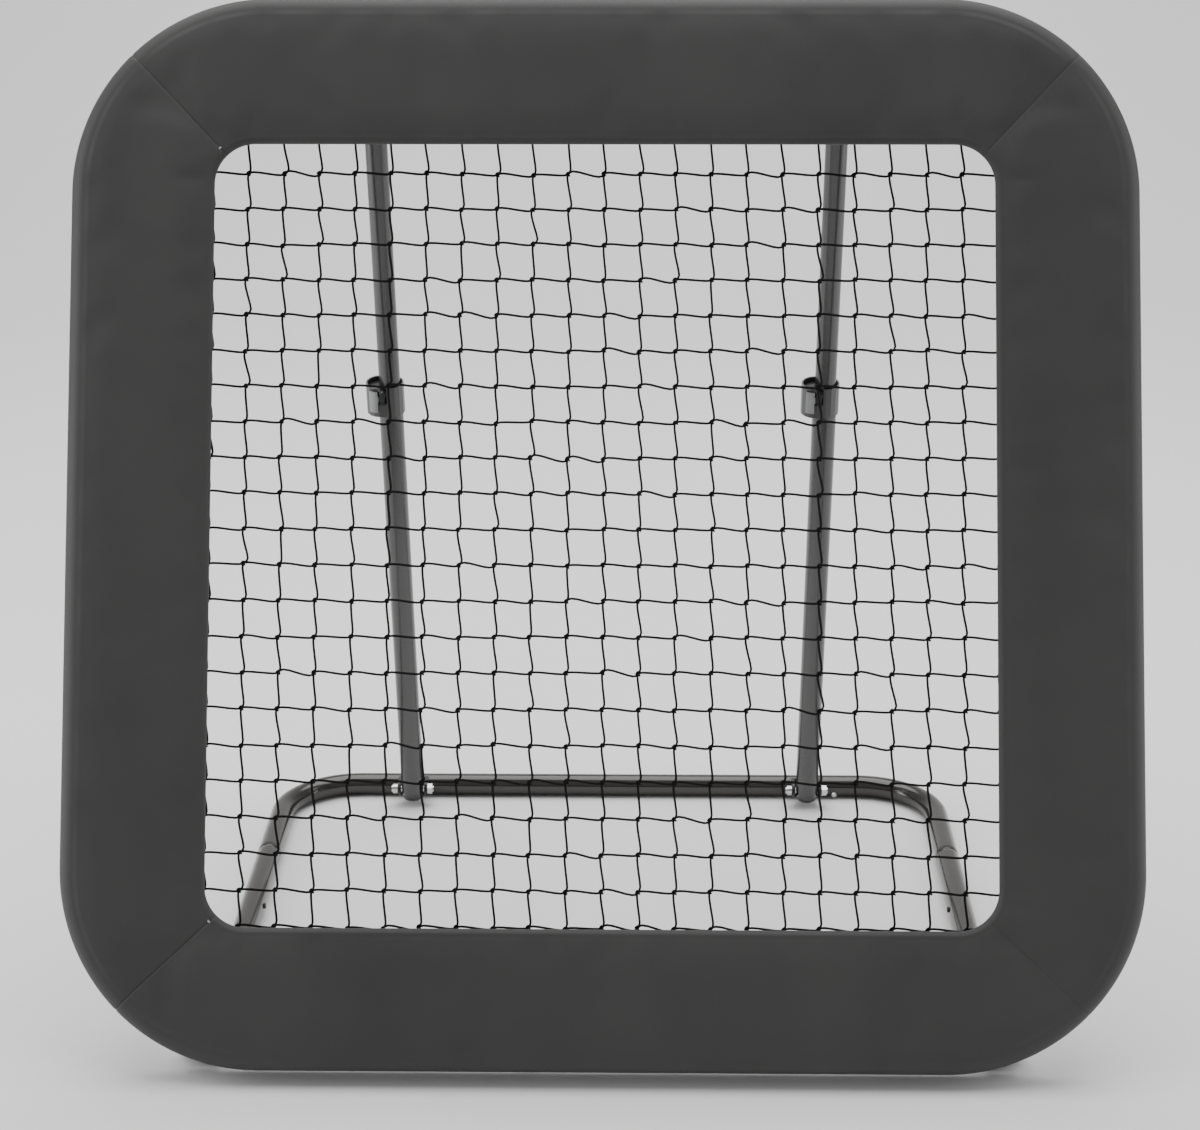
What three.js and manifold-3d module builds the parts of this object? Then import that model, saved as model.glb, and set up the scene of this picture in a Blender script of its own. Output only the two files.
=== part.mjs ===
// Pitch back rebounder: a square padded net panel hinged on a U-shaped floor base
// and held at its angle by two telescopic legs with lever clamps.
// Millimetres, +X to the right, +Y to the back, +Z up, floor at Z = 0.

import * as THREE from 'three';
import { mergeVertices } from 'three/addons/utils/BufferGeometryUtils.js';
import Module from 'manifold-3d';

const wasm = await Module();
wasm.setup();

// ---- Driving dimensions ---------------------------------------------------

const PANEL = 1000; // outer side of the cover
const CORNER = 185; // outer corner radius of the cover
const STRIP = 136; // width of one padded strip
const OPENING_CORNER = 38; // corner radius of the opening in the cover
const TILT = THREE.MathUtils.degToRad(22.5); // panel angle back from the vertical

const SIDES = 12; // facets round every tube
const TUBE = 12.7; // radius of the base, frame and lower leg tubes
const WALL = 1.5; // tube wall
const GAP = 0.3; // clearance between pieces that touch

const FRAME_IN = 22; // frame tube centre, in from the cover's outer edge
const FRAME_DEEP = 30; // frame tube centre, behind the cover's front face
const FRAME_BEND = 161; // bend radius of the frame tube
const SKIN = 1.6; // cover fabric with its lining
const PAD = 12.4; // thickness of a padded strip

const NET_IN = 80; // net edge, in from the cover's outer edge
const NET_THICK = 1.8;
const ROPE_IN = 70.5; // border rope centre, in from the cover's outer edge
const ROPE = 2.5; // border rope radius
const CORD = 1.75; // lacing cord radius

const HINGE_UP = 20; // hinge axis above the panel's lower edge
const HINGE_DEEP = 66; // hinge axis behind the cover's front face
const FLOOR_TUBE = TUBE * Math.cos(Math.PI / SIDES); // axis height of a tube lying on a facet

const BASE_WIDE = 736; // between the axes of the side tubes
const REAR_Y = 612; // rear bar axis behind the hinge axis
const REAR_BEND = 84;
const JOINT_Y = 415; // where the side tubes meet the rear tube
const BUTTON_Y = 290; // the push buttons on the side tubes
const RIVET_X = 258;

const LEG_X = 225; // half the distance between the legs
const LEG_FOOT = new THREE.Vector2(580, 20); // lower pivot: back, up
const LEG_HEAD = new THREE.Vector2(962, 60); // upper pivot: up the panel, behind its front face
const UPPER_TUBE = 11.1; // radius of the upper leg tube
const LOWER_TOP = 514; // top of the lower leg tube, along the leg
const UPPER_FOOT = 350; // foot of the upper leg tube, along the leg
const COLLAR_FOOT = 497.5;
const COLLAR_TOP = 531.5;
const COLLAR_SIDE = -10.6; // centre of the collar's lever side
const PIN = new THREE.Vector2(-7, -14); // lever pin beside the leg axis
const LEVER_UP = 515.8; // foot of the lever's hub, along the leg
const LEVER_HIGH = 6.8; // height of the hub
const BOLT = 3.9; // radius of the pivot bolts

// ---- Materials ------------------------------------------------------------

const LOOKS = {
  cover: [0x404143, 0.62, 0],
  foam: [0xb9b6a6, 0.95, 0],
  net: [0x161616, 0.85, 0],
  rope: [0x1c1c1d, 0.85, 0],
  elastic: [0x232325, 0.8, 0],
  strap: [0x1d1d1f, 0.85, 0],
  frame: [0x3a3a3c, 0.4, 0.2],
  base: [0x2e2d2d, 0.3, 0.2],
  leg: [0x6b6c6e, 0.38, 0.35],
  collar: [0x616264, 0.4, 0.3],
  plastic: [0x121213, 0.5, 0],
  lever: [0x7d7e80, 0.35, 0.6],
  bracket: [0x19191a, 0.45, 0.2],
  chrome: [0xd8d8d6, 0.18, 1],
};

function named(name, geometry, look) {
  const [color, roughness, metalness] = LOOKS[look];
  const mesh = new THREE.Mesh(geometry, new THREE.MeshStandardMaterial({ color, roughness, metalness }));
  mesh.name = name;
  return mesh;
}

// ---- Joining and cutting --------------------------------------------------

function solid(geometry) {
  const bare = geometry.index ? geometry.toNonIndexed() : geometry.clone();
  bare.deleteAttribute('normal');
  bare.deleteAttribute('uv');
  const merged = mergeVertices(bare, 1e-4);
  return new wasm.Manifold(new wasm.Mesh({
    numProp: 3,
    vertProperties: new Float32Array(merged.attributes.position.array),
    triVerts: new Uint32Array(merged.index.array),
  }));
}

function geometryOf(body) {
  const mesh = body.getMesh();
  const geometry = new THREE.BufferGeometry();
  geometry.setAttribute('position', new THREE.BufferAttribute(mesh.vertProperties, 3));
  geometry.setIndex(new THREE.BufferAttribute(mesh.triVerts, 1));
  return geometry;
}

function cut(geometry, ...tools) {
  return geometryOf(tools.reduce((body, tool) => body.subtract(solid(tool)), solid(geometry)));
}

function join(geometry, ...others) {
  return geometryOf(others.reduce((body, other) => body.add(solid(other)), solid(geometry)));
}

// ---- Basic shapes ---------------------------------------------------------

// Points of an arc about (x, y), from one angle to another in degrees.
function arc(x, y, radius, from, to, steps) {
  const points = [];
  for (let i = 0; i <= steps; i++) {
    const angle = THREE.MathUtils.degToRad(from + (to - from) * i / steps);
    points.push(new THREE.Vector2(x + radius * Math.cos(angle), y + radius * Math.sin(angle)));
  }
  return points;
}

// A regular outline with a flat towards each of its sides, never a corner.
function ring(radius, sides = SIDES) {
  const half = 180 / sides;
  return arc(0, 0, radius, half, half + 360 - 2 * half, sides - 1);
}

function hollow(outer, inner, sides = SIDES) {
  const shape = new THREE.Shape(ring(outer, sides));
  shape.holes.push(new THREE.Path(ring(inner, sides)));
  return shape;
}

function slab(shape, from, to) {
  const geometry = new THREE.ExtrudeGeometry(shape, { depth: to - from, bevelEnabled: false });
  return geometry.translate(0, 0, from);
}

// A slab whose thickness lies along X, its outline given in Y and Z.
function sideSlab(points, from, to) {
  const geometry = slab(new THREE.Shape(points), from, to);
  return geometry.applyMatrix4(new THREE.Matrix4().makeBasis(
    new THREE.Vector3(0, 1, 0), new THREE.Vector3(0, 0, 1), new THREE.Vector3(1, 0, 0)));
}

// A rod along X.
function rodX(radius, from, to, sides = 16) {
  return sideSlab(ring(radius, sides), from, to);
}

function tubeZ(outer, inner, from, to) {
  return slab(hollow(outer, inner), from, to);
}

// A path through given points, one step from each to the next, so that bends get
// many short steps and straight stretches get one.
class PointPath extends THREE.Curve {
  constructor(points) {
    super();
    this.points = points;
  }

  getPoint(t, target = new THREE.Vector3()) {
    const at = t * (this.points.length - 1);
    const i = Math.min(Math.floor(at), this.points.length - 2);
    return target.lerpVectors(this.points[i], this.points[i + 1], at - i);
  }

  getPointAt(t, target) {
    return this.getPoint(t, target);
  }

  getTangentAt(t, target = new THREE.Vector3()) {
    const i = Math.round(t * (this.points.length - 1));
    const before = this.points[Math.max(i - 1, 0)];
    const here = this.points[i];
    const after = this.points[Math.min(i + 1, this.points.length - 1)];
    const arriving = here.clone().sub(before).normalize();
    const leaving = after.clone().sub(here).normalize();
    return target.copy(arriving).add(leaving).normalize();
  }
}

function along(shape, points) {
  const steps = points.length - 1;
  return new THREE.ExtrudeGeometry(shape, { steps, extrudePath: new PointPath(points) });
}

// The drawn-in end of a tube that pushes into its neighbour: it points along +Z from
// the end of the tube at Z = 0, with a shoulder inside the tube's own wall.
function spigot() {
  const outer = TUBE - WALL - GAP;
  const bore = outer - WALL;
  return join(tubeZ(outer, bore, -6, 42), tubeZ(TUBE - WALL / 2, bore, -5, -1));
}

// ---- The panel's outline --------------------------------------------------
// A place on the panel is its distance in from the cover's outer edge, its depth
// behind the front face, and its station round the outline. The outline's corners
// get tighter inwards, from CORNER outside to OPENING_CORNER at the opening.

// A corner point at an angle of 0 to 90 degrees; quarter 0 is the bottom right one.
function cornerPoint(inward, depth, quarter, angle) {
  const half = PANEL / 2 - inward;
  const radius = CORNER - inward * (CORNER - OPENING_CORNER) / STRIP;
  const turn = THREE.MathUtils.degToRad(angle - 90);
  const x = half - radius + radius * Math.cos(turn);
  const y = -(half - radius) + radius * Math.sin(turn);
  const spin = quarter * Math.PI / 2;
  return new THREE.Vector3(
    x * Math.cos(spin) - y * Math.sin(spin),
    PANEL / 2 + x * Math.sin(spin) + y * Math.cos(spin),
    -depth);
}

// A point by its distance along the frame tube, from the middle of the bottom side.
const STRAIGHT = PANEL / 2 - FRAME_IN - FRAME_BEND;
const QUARTER = 2 * STRAIGHT + FRAME_BEND * Math.PI / 2;

function outlinePoint(inward, depth, distance) {
  const quarter = Math.floor(distance / QUARTER);
  const rest = distance - quarter * QUARTER;
  const bend = (rest - STRAIGHT) / FRAME_BEND * 180 / Math.PI;
  if (bend >= 0 && bend <= 90) {
    return cornerPoint(inward, depth, quarter, bend);
  }
  const before = bend < 0;
  const edge = cornerPoint(inward, depth, quarter, before ? 0 : 90);
  const beyond = cornerPoint(inward, depth, before ? quarter + 3 : quarter + 1, before ? 90 : 0);
  const share = (before ? rest : QUARTER - rest) / STRAIGHT;
  const centre = edge.clone().add(beyond).multiplyScalar(0.5);
  return centre.lerp(edge, share);
}

// One side of a ring from mitre to mitre: the section is drawn as (inward, depth),
// pushed out along its length, then each of its slices is laid at its station.
function mitredSide(section, quarter, steps) {
  const slices = [];
  for (let i = 0; i <= steps; i++) {
    slices.push([quarter, 45 - 45 * i / steps]);
  }
  for (let i = 0; i <= steps; i++) {
    slices.push([quarter + 3, 90 - 45 * i / steps]);
  }
  const count = slices.length - 1;
  const settings = { depth: count, steps: count, bevelEnabled: false };
  const geometry = new THREE.ExtrudeGeometry(new THREE.Shape(section), settings);
  const position = geometry.attributes.position;
  const across = new THREE.Vector3(Math.cos(quarter * Math.PI / 2), Math.sin(quarter * Math.PI / 2), 0);
  for (let i = 0; i < position.count; i++) {
    const slice = Math.round(position.getZ(i));
    const point = cornerPoint(position.getX(i), position.getY(i), ...slices[slice]);
    const inset = slice === 0 ? -GAP : slice === count ? GAP : 0;
    point.addScaledVector(across, inset);
    position.setXYZ(i, point.x, point.y, point.z);
  }
  return geometry;
}

// ---- Cover, foam and net --------------------------------------------------

const SIDE_NAMES = ['bottom', 'right', 'top', 'left'];
const RIM = 18; // radius of the cover's front rim
const BACK = 14; // radius of the cover's turn behind the frame tube
const HEM = PAD / 2;

// The cover's fabric, from behind the frame tube, round the rim, over the front,
// round the inner hem and back to the frame tube.
function coverSection() {
  const wrap = (inset) => [
    ...arc(BACK, 32, BACK - inset, 130, 180, 3),
    ...arc(RIM, RIM, RIM - inset, 180, 270, 5),
    ...arc(STRIP - HEM, HEM, HEM - inset, 270, 450, 6),
    new THREE.Vector2(41, PAD - inset),
  ];
  return [...wrap(0), ...wrap(SKIN).reverse()];
}

function foamSection() {
  const front = SKIN + 0.6;
  const back = PAD - SKIN - 0.4;
  const middle = (front + back) / 2;
  return [
    new THREE.Vector2(9.5, back),
    new THREE.Vector2(9.5, 7),
    new THREE.Vector2(12.5, 4.4),
    new THREE.Vector2(18, front),
    ...arc(STRIP - HEM, middle, (back - front) / 2, 270, 450, 4),
  ];
}

function coverParts() {
  return SIDE_NAMES.flatMap((side, quarter) => [
    named(`cover_strip_${side}`, mitredSide(coverSection(), quarter, 3), 'cover'),
    named(`foam_pad_${side}`, mitredSide(foamSection(), quarter, 3), 'foam'),
  ]);
}

// An elastic strap from the cover's back edge, behind the frame tube, to the strip's back.
function strapGeometry() {
  const reach = TUBE + 1;
  const band = (inset) => [
    new THREE.Vector2(7.4, FRAME_DEEP + 13.4 + inset),
    ...arc(FRAME_IN, FRAME_DEEP, reach + inset, 100, 45, 4),
    new THREE.Vector2(45 + inset, PAD + 2.2),
    new THREE.Vector2(45 + inset, PAD + GAP),
  ];
  return slab(new THREE.Shape([...band(0), ...band(1.2).reverse()]), -10, 10);
}

// Straps lie between the lacing turns: [side, distance from the middle of that side].
const STRAPS = [['bottom', -67], ['bottom', 67], ['right', 0], ['top', -67], ['top', 67], ['left', 0]];

function strapParts() {
  return STRAPS.map(([side, offset], i) => {
    const holder = new THREE.Group();
    const quarter = SIDE_NAMES.indexOf(side);
    const turn = quarter * Math.PI / 2;
    const out = new THREE.Vector3(Math.sin(turn), -Math.cos(turn), 0);
    const run = new THREE.Vector3(Math.cos(turn), Math.sin(turn), 0);
    const front = new THREE.Vector3(0, 0, -1);
    const basis = new THREE.Matrix4().makeBasis(out.clone().negate(), front, run.clone().negate());
    const corner = out.clone().multiplyScalar(PANEL / 2).addScaledVector(run, offset);
    basis.setPosition(corner.x, corner.y + PANEL / 2, 0);
    holder.applyMatrix4(basis);
    holder.add(named(`cover_strap_${i + 1}`, strapGeometry(), 'strap'));
    return holder;
  });
}

function netGeometry() {
  const outline = [];
  for (let quarter = 0; quarter < 4; quarter++) {
    for (let i = 0; i <= 4; i++) {
      const point = cornerPoint(NET_IN, 0, quarter, 90 * i / 4);
      outline.push(new THREE.Vector2(point.x, point.y));
    }
  }
  return slab(new THREE.Shape(outline), -FRAME_DEEP - NET_THICK / 2, -FRAME_DEEP + NET_THICK / 2);
}

// The rope starts and ends in the middle of the bottom side, its ends just apart.
function ropeGeometry() {
  const start = new THREE.Vector3(GAP, ROPE_IN, -FRAME_DEEP);
  const points = [start];
  for (let quarter = 0; quarter < 4; quarter++) {
    for (let i = 0; i <= 5; i++) {
      points.push(cornerPoint(ROPE_IN, FRAME_DEEP, quarter, 90 * i / 5));
    }
  }
  points.push(new THREE.Vector3(-GAP, ROPE_IN, -FRAME_DEEP));
  return along(new THREE.Shape(ring(ROPE, 8)), points);
}

// Where the lacing turns round the frame tube: along a straight half side, then
// round the bend, leaving room for the brackets.
const TURNS_STRAIGHT = [33.5, 100.5, 167.5, 268];
const TURNS_BEND = [5, 31, 59, 85];

function lacingGeometry() {
  const bends = TURNS_BEND.map((angle) => STRAIGHT + THREE.MathUtils.degToRad(angle) * FRAME_BEND);
  const quarterTurns = [
    ...TURNS_STRAIGHT,
    ...bends,
    ...TURNS_STRAIGHT.map((x) => QUARTER - x).reverse(),
  ];
  const turns = [];
  for (let quarter = 0; quarter < 4; quarter++) {
    turns.push(...quarterTurns.map((x) => x + quarter * QUARTER));
  }
  const points = [];
  turns.forEach((distance, i) => {
    for (const p of arc(FRAME_IN, FRAME_DEEP, 17.2, 270, 90, 3)) {
      points.push(outlinePoint(p.x, p.y, distance));
    }
    if (i < turns.length - 1) {
      const between = (distance + turns[i + 1]) / 2;
      for (const p of arc(ROPE_IN, FRAME_DEEP, 7, 90, -90, 2)) {
        points.push(outlinePoint(p.x, p.y, between));
      }
    }
  });
  return along(new THREE.Shape(ring(CORD, 5)), points);
}

// ---- Panel frame ----------------------------------------------------------

function frameHalf(first) {
  const points = [];
  const lift = new THREE.Vector3(0, first === 3 ? -GAP / 2 : GAP / 2, 0);
  const from = cornerPoint(FRAME_IN, FRAME_DEEP, first, 0);
  points.push(new THREE.Vector3(from.x, PANEL / 2, from.z).add(lift));
  for (const quarter of [first, first + 1]) {
    for (let i = 0; i <= 6; i++) {
      points.push(cornerPoint(FRAME_IN, FRAME_DEEP, quarter, 90 * i / 6));
    }
  }
  points.push(new THREE.Vector3(-from.x, PANEL / 2, from.z).add(lift));
  const tube = along(hollow(TUBE, TUBE - WALL), points);
  if (first === 3) {
    return tube;
  }
  const spigots = [-1, 1].map((side) => spigot()
    .rotateX(Math.PI / 2)
    .translate(side * from.x, PANEL / 2 + GAP / 2, from.z));
  return join(tube, ...spigots);
}

// A bracket welded behind the frame tube: a plate and two ears that take a bolt.
// Its outline is drawn as (up the panel, behind the front face).
function panelBracket(x, plateFrom, plateTo, pivot, earRadius, earTurn, inside, holeShape) {
  const plateFront = FRAME_DEEP + TUBE + GAP;
  const thick = 3;
  const ear = [
    new THREE.Vector2(plateFrom, plateFront),
    new THREE.Vector2(plateTo, plateFront),
    new THREE.Vector2(plateTo, plateFront + thick),
    ...arc(pivot.x, pivot.y, earRadius, 35, earTurn, 7),
    new THREE.Vector2(plateFrom, plateFront + thick),
  ];
  const plate = [
    new THREE.Vector2(plateFrom, plateFront),
    new THREE.Vector2(plateTo, plateFront),
    new THREE.Vector2(plateTo, plateFront + thick),
    new THREE.Vector2(plateFrom, plateFront + thick),
  ];
  const upright = new THREE.Matrix4().makeBasis(
    new THREE.Vector3(0, 1, 0), new THREE.Vector3(0, 0, -1), new THREE.Vector3(-1, 0, 0));
  const across = (points, from, to) => slab(new THREE.Shape(points), from, to).applyMatrix4(upright);
  const body = join(
    across(plate, -inside - thick, inside + thick),
    across(ear, inside, inside + thick),
    across(ear, -inside - thick, -inside));
  return cut(body, across(holeShape, -40, 40)).translate(x, 0, 0);
}

function hingeBracket(x) {
  const pivot = new THREE.Vector2(HINGE_UP, HINGE_DEEP);
  return panelBracket(x, 9, 40, pivot, 11, 180, TUBE + 0.6, arc(pivot.x, pivot.y, BOLT + GAP, 0, 330, 11));
}

// The leg bracket's hole is a short slot towards the panel: the bolt shifts in it
// while the panel swings.
function legBracket(x) {
  const slotEnd = LEG_HEAD.clone().add(new THREE.Vector2(-3.1, -6.3));
  const slot = [
    ...arc(LEG_HEAD.x + 0.3, LEG_HEAD.y + 0.6, BOLT + 0.7, -26, 154, 6),
    ...arc(slotEnd.x, slotEnd.y, BOLT + 0.7, 154, 334, 6),
  ];
  return panelBracket(x, 968, 992, LEG_HEAD, 14.5, 230, UPPER_TUBE + 0.6, slot);
}

// ---- Bolts and nuts -------------------------------------------------------

// A bolt along X with its head on the left and a short end past its nut.
function boltGeometry(x, y, z, half, head) {
  const bolt = join(
    rodX(BOLT - GAP, -half - 1, half + 7, 12),
    rodX(head, -half - 5.5, -half - GAP, 12),
    rodX(head * 0.72, -half - 7, -half - 5, 12));
  return bolt.translate(x, y, z);
}

function nutGeometry(x, y, z, half, size) {
  return cut(rodX(size, half + GAP, half + 5.6, 6), rodX(BOLT, half - 1, half + 9, 12)).translate(x, y, z);
}

// ---- Base -----------------------------------------------------------------

function rearTube() {
  const side = BASE_WIDE / 2;
  const points = [new THREE.Vector3(-side, JOINT_Y + GAP / 2, FLOOR_TUBE)];
  for (const p of arc(-side + REAR_BEND, REAR_Y - REAR_BEND, REAR_BEND, 180, 90, 6)) {
    points.push(new THREE.Vector3(p.x, p.y, FLOOR_TUBE));
  }
  for (const p of arc(side - REAR_BEND, REAR_Y - REAR_BEND, REAR_BEND, 90, 0, 6)) {
    points.push(new THREE.Vector3(p.x, p.y, FLOOR_TUBE));
  }
  points.push(new THREE.Vector3(side, JOINT_Y + GAP / 2, FLOOR_TUBE));
  const spigots = [-side, side].map((x) => spigot()
    .rotateX(Math.PI / 2)
    .translate(x, JOINT_Y + GAP / 2, FLOOR_TUBE));
  return join(along(hollow(TUBE, TUBE - WALL), points), ...spigots);
}

// A rod along X from one distance to another on the inner side of a side tube.
function inwardRod(radius, x, from, to) {
  return x < 0 ? rodX(radius, x + from, x + to, 10) : rodX(radius, x - to, x - from, 10);
}

function sideTube(x) {
  const tube = tubeZ(TUBE, TUBE - WALL, -12, JOINT_Y - GAP / 2);
  tube.rotateX(-Math.PI / 2).translate(x, 0, FLOOR_TUBE);
  const button = inwardRod(3.3, x, 6, 20).translate(0, BUTTON_Y, FLOOR_TUBE);
  return cut(tube, rodX(BOLT + GAP, x - 20, x + 20, 12).translate(0, 0, FLOOR_TUBE), button);
}

// The small push button that shows on the inner side of each side tube.
function buttonGeometry(x) {
  return join(inwardRod(3, x, 8.4, 13.9), inwardRod(4.6, x, 7, 9)).translate(0, BUTTON_Y, FLOOR_TUBE);
}

// A bracket in front of the rear bar: a plate and two round-nosed ears.
function rearBracket(x) {
  const plateBack = REAR_Y - TUBE - GAP;
  const thick = 3.5;
  const inside = TUBE + 0.6;
  const low = LEG_FOOT.y - 7.5;
  const high = LEG_FOOT.y + 7.5;
  const ear = [
    ...arc(LEG_FOOT.x, LEG_FOOT.y, 7.5, 90, 270, 6),
    new THREE.Vector2(plateBack, low),
    new THREE.Vector2(plateBack, high),
  ];
  const plate = [
    new THREE.Vector2(plateBack - thick, low),
    new THREE.Vector2(plateBack, low),
    new THREE.Vector2(plateBack, high),
    new THREE.Vector2(plateBack - thick, high),
  ];
  const body = join(
    sideSlab(plate, -inside - thick, inside + thick),
    sideSlab(ear, inside, inside + thick),
    sideSlab(ear, -inside - thick, -inside));
  const hole = rodX(BOLT + GAP, -40, 40, 12).translate(0, LEG_FOOT.x, LEG_FOOT.y);
  return cut(body, hole).translate(x, 0, 0);
}

// A dome-headed rivet low on the front of the rear bar.
function rivetGeometry() {
  const profile = [
    new THREE.Vector2(0, GAP),
    new THREE.Vector2(3.6, GAP),
    ...arc(0, GAP, 3.6, 20, 60, 2).map((p) => new THREE.Vector2(p.x, p.y * 0.7 + 0.6)),
    new THREE.Vector2(0, 3.4),
  ];
  const rivet = new THREE.LatheGeometry(profile, 10);
  const turn = Math.PI * 7 / 6; // facing forward and 30 degrees down
  return rivet.rotateX(turn).translate(
    RIVET_X, REAR_Y + FLOOR_TUBE * Math.cos(turn), FLOOR_TUBE + FLOOR_TUBE * Math.sin(turn));
}

function baseParts() {
  const parts = [
    named('base_rear_tube', rearTube(), 'base'),
    named('rear_bar_rivet', rivetGeometry(), 'chrome'),
  ];
  for (const [side, sign] of [['left', -1], ['right', 1]]) {
    const x = sign * BASE_WIDE / 2;
    const leg = sign * LEG_X;
    parts.push(
      named(`base_side_tube_${side}`, sideTube(x), 'base'),
      named(`base_button_${side}`, buttonGeometry(x), 'plastic'),
      named(`rear_bracket_${side}`, rearBracket(leg), 'bracket'),
      named(`leg_foot_bolt_${side}`, boltGeometry(leg, ...LEG_FOOT, TUBE + 4.1, 5.6), 'chrome'),
      named(`leg_foot_nut_${side}`, nutGeometry(leg, ...LEG_FOOT, TUBE + 4.1, 6.3), 'chrome'));
  }
  return parts;
}

// ---- Legs, drawn along Z from the lower pivot -----------------------------

function crossHole(height) {
  return rodX(BOLT + GAP, -20, 20, 12).translate(0, 0, height);
}

function lowerTube() {
  return cut(tubeZ(TUBE, TUBE - WALL, -6, LOWER_TOP), crossHole(0));
}

function upperTube(head) {
  return cut(tubeZ(UPPER_TUBE, UPPER_TUBE - WALL, UPPER_FOOT, head + 9), crossHole(head));
}

// A rounded plug that closes the lower tube's foot; the bolt passes through its stem.
function footPlug() {
  const dome = arc(0, 0, 1, 270, 360, 5).slice(1);
  const profile = [
    new THREE.Vector2(0, -13.8),
    ...dome.map((p) => new THREE.Vector2(p.x * TUBE, p.y * 7.5 - 6.3)),
    new THREE.Vector2(TUBE - WALL - GAP, -6.3),
    new THREE.Vector2(TUBE - WALL - 0.5, 12),
    new THREE.Vector2(0, 12),
  ];
  const plug = new THREE.LatheGeometry(profile, SIDES, Math.PI / SIDES).rotateX(Math.PI / 2);
  return cut(plug, crossHole(0));
}

function headPlug(head) {
  const profile = [
    new THREE.Vector2(0, head + 5),
    new THREE.Vector2(UPPER_TUBE - WALL - 0.5, head + 5),
    new THREE.Vector2(UPPER_TUBE - WALL - 0.5, head + 9.3),
    new THREE.Vector2(UPPER_TUBE, head + 9.3),
    new THREE.Vector2(UPPER_TUBE - 1.5, head + 11),
    new THREE.Vector2(0, head + 11.5),
  ];
  return new THREE.LatheGeometry(profile, SIDES, Math.PI / SIDES).rotateX(Math.PI / 2);
}

// An outline that wraps two round ends: the leg on the right, the lever side on the left.
function wrapOutline(legRadius, sideRadius) {
  return new THREE.Shape([
    ...arc(0, 0, legRadius, -90, 90, 8),
    ...arc(COLLAR_SIDE, 0, sideRadius, 90, 270, 8),
  ]);
}

function boxGeometry(x0, x1, y0, y1, z0, z1) {
  return new THREE.BoxGeometry(x1 - x0, y1 - y0, z1 - z0)
    .translate((x0 + x1) / 2, (y0 + y1) / 2, (z0 + z1) / 2);
}

// The clamp collar: a sheet metal band with a notch at the front left.
function collarGeometry() {
  return cut(
    slab(wrapOutline(14.6, 14.2), COLLAR_FOOT, COLLAR_TOP),
    slab(wrapOutline(13.1, 12.6), COLLAR_FOOT - 1, COLLAR_TOP + 1),
    boxGeometry(-11.3, -2.6, -20, -6, COLLAR_TOP - 19, COLLAR_TOP + 1));
}

// The plastic insert between the collar and the tubes, with two lugs for the lever pin.
function insertGeometry() {
  const core = slab(wrapOutline(12.75, 12.25), COLLAR_FOOT + 1, COLLAR_TOP - 5);
  const lug = boxGeometry(PIN.x - 2.9, PIN.x + 3.5, PIN.y - 2.9, -8, COLLAR_TOP - 18.6, COLLAR_TOP - 5.2);
  const lowerRoom = slab(new THREE.Shape(ring(13.1, SIDES)), COLLAR_FOOT - 1, LOWER_TOP + GAP);
  const upperRoom = slab(new THREE.Shape(ring(UPPER_TUBE + 0.4, SIDES)), LOWER_TOP, COLLAR_TOP + 1);
  const high = LEVER_UP + LEVER_HIGH + GAP;
  const leverRoom = boxGeometry(-14, -2, PIN.y - 4, PIN.y + 3.5, LEVER_UP - GAP, high);
  const pinHole = slab(new THREE.Shape(ring(1.5, 8)), COLLAR_FOOT, COLLAR_TOP);
  return cut(join(core, lug), lowerRoom, upperRoom, leverRoom, pinHole.translate(PIN.x, PIN.y, 0));
}

// A band of sheet that follows the outside of the collar's lever side.
function leverBand(from, to) {
  return new THREE.Shape([
    ...arc(COLLAR_SIDE, 0, 16.1, from, to, 8),
    ...arc(COLLAR_SIDE, 0, 14.6, to, from, 8),
  ]);
}

// The lever: a hub on the pin and a curved tab over the collar's front left.
function leverGeometry() {
  const high = LEVER_UP + LEVER_HIGH;
  const hub = slab(new THREE.Shape(ring(2.9, 10)), LEVER_UP, high).translate(PIN.x, PIN.y, 0);
  const neck = slab(leverBand(282, 246), LEVER_UP, high);
  const grip = slab(leverBand(266, 232), COLLAR_TOP - 28, COLLAR_TOP - 3.5);
  const pinHole = slab(new THREE.Shape(ring(1.5, 8)), LEVER_UP - 1, high + 1);
  return cut(join(hub, neck, grip), pinHole.translate(PIN.x, PIN.y, 0));
}

function pinGeometry() {
  const pin = slab(new THREE.Shape(ring(1.2, 8)), COLLAR_TOP - 18.8, COLLAR_TOP - 4.4);
  return pin.translate(PIN.x, PIN.y, 0);
}

// ---- Assembly -------------------------------------------------------------

const panel = new THREE.Group();
panel.position.set(0, 0, FLOOR_TUBE);
panel.rotation.x = Math.PI / 2 - TILT;

const panelFace = new THREE.Group(); // X across, Y up the panel, Z towards the front
panelFace.position.set(0, -HINGE_UP, HINGE_DEEP);
panel.add(panelFace);

panelFace.add(
  ...coverParts(),
  ...strapParts(),
  named('net', netGeometry(), 'net'),
  named('net_border_rope', ropeGeometry(), 'rope'),
  named('elastic_lacing', lacingGeometry(), 'elastic'),
  named('frame_tube_lower', frameHalf(3), 'frame'),
  named('frame_tube_upper', frameHalf(1), 'frame'));

// The legs run from the lower pivot to the bracket on the panel.
const headUp = LEG_HEAD.x - HINGE_UP;
const headBack = LEG_HEAD.y - HINGE_DEEP;
const headPoint = new THREE.Vector2(
  headUp * Math.sin(TILT) + headBack * Math.cos(TILT),
  FLOOR_TUBE + headUp * Math.cos(TILT) - headBack * Math.sin(TILT));
const reach = headPoint.clone().sub(LEG_FOOT);
const legLength = reach.length();
const lean = Math.atan2(-reach.x, reach.y);

const rebounder = new THREE.Group();
rebounder.add(panel, ...baseParts());

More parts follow.
